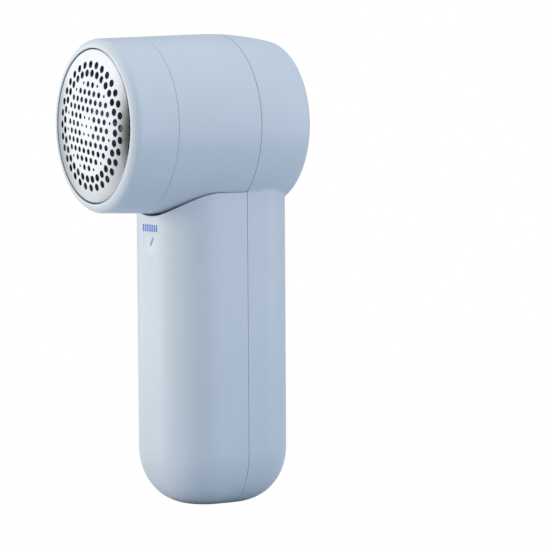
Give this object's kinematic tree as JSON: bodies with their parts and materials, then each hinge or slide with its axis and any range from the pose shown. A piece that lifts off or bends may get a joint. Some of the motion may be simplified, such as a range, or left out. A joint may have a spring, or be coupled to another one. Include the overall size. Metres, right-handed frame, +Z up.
{
  "type": "fabric shaver",
  "caption": "Cordless pistol-shaped fabric shaver: a domed perforated foil on a round head over an upright rounded handle, with a pull-off lint barrel.",
  "frame": {"origin": "centre of the handle's flat base", "axes": "+Z up the handle, +Y towards the back (the foil faces -Y), +X to the right seen from the foil's side of the object looking along +Y"},
  "size_m": [0.0588, 0.0687, 0.1539],
  "materials": {
    "shell_plastic": "fine satin moulded ABS, pale blue",
    "button_plastic": "fine satin moulded ABS, pale blue",
    "foil_steel": "polished stainless foil",
    "blade_steel": "ground stainless blades",
    "screw_steel": "zinc-plated screws",
    "can_steel": "plated motor can",
    "shaft_steel": "ground steel shaft",
    "black_plastic": "black glass-filled plastic",
    "inner_plastic": "slate-blue moulded ABS inside the head",
    "cream_plastic": "natural acetal",
    "light_pipe": "tinted light pipe",
    "seal_rubber": "soft black rubber",
    "felt": "dense felt",
    "bush_bronze": "sintered bronze",
    "contact_brass": "tin-plated brass",
    "magnet_black": "ferrite magnet",
    "copper_wire": "enamelled copper wire",
    "board_green": "solder-masked circuit board",
    "chip_black": "moulded chip package",
    "cell_wrap": "heat-shrink cell sleeve",
    "nickel_strip": "nickel strip",
    "usb_steel": "stamped stainless socket shell",
    "ribbon_film": "polyimide ribbon cable",
    "wire_red": "red wire insulation",
    "wire_black": "black wire insulation"
  },
  "bodies": {
    "handle": {"front_shell": "shell_plastic", "rear_shell": "shell_plastic", "shell_screws": "screw_steel", "screw_plugs": "shell_plastic", "bin_seal": "seal_rubber", "motor_bulkhead": "inner_plastic", "bulkhead_screws": "screw_steel", "dust_seal": "felt", "motor_can": "can_steel", "motor_bush": "bush_bronze", "motor_magnets": "magnet_black", "motor_end_cap": "cream_plastic", "motor_terminals": "contact_brass", "motor_screws": "screw_steel", "level_light": "light_pipe", "tact_switch": "chip_black", "switch_board": "board_green", "switch_board_screws": "screw_steel", "switch_ribbon": "ribbon_film", "control_board": "board_green", "charger_chip": "chip_black", "board_coil": "chip_black", "board_capacitors": "copper_wire", "usb_socket": "usb_steel", "usb_tongue": "chip_black", "battery_cell": "cell_wrap", "battery_cradle": "black_plastic", "battery_tabs": "nickel_strip", "motor_lead_red": "wire_red", "motor_lead_black": "wire_black"},
    "lint_bin": {"lint_bin": "shell_plastic"},
    "foil_cap": {"foil_cap": "shell_plastic", "foil_retainer": "cream_plastic", "shaving_foil": "foil_steel"},
    "rotor": {"motor_shaft": "shaft_steel", "motor_armature": "can_steel", "motor_windings": "copper_wire", "motor_commutator": "contact_brass", "drive_sleeve": "cream_plastic", "hub_spring": "shaft_steel", "hub_washer": "screw_steel", "hub_screw": "screw_steel"},
    "blade_unit": {"blade_hub": "inner_plastic", "shaver_blades": "blade_steel"},
    "button": {"power_button": "button_plastic"},
    "switch_plunger": {"switch_plunger": "cream_plastic"}
  },
  "joints": [
    {"name": "blade_spin", "type": "hinge", "parent": "handle", "child": "rotor", "pos_m": [0, 0, 0.1245], "axis": [0, 1, 0], "continuous": true},
    {"name": "blade_float", "type": "slide", "parent": "rotor", "child": "blade_unit", "axis": [0, 1, 0], "range_m": [0, 0.0008], "stiffness_N_per_m": 900, "springref_m": -0.0012, "deforming": ["hub_spring"]},
    {"name": "bin_pull", "type": "slide", "parent": "handle", "child": "lint_bin", "axis": [0, -1, 0], "range_m": [0, 0.05]},
    {"name": "cap_twist", "type": "hinge", "parent": "lint_bin", "child": "foil_cap", "pos_m": [0, 0, 0.1245], "axis": [0, 1, 0], "range_deg": [0, 20]},
    {"name": "button_press", "type": "slide", "parent": "handle", "child": "button", "axis": [0, 1, 0], "range_m": [0, 0.0006], "stiffness_N_per_m": 1500},
    {"name": "plunger_press", "type": "slide", "parent": "handle", "child": "switch_plunger", "axis": [0, 1, 0], "range_m": [0, 0.0006]}
  ],
  "couplings": [
    {"joint": "plunger_press", "follows": "button_press", "ratio": 1}
  ]
}
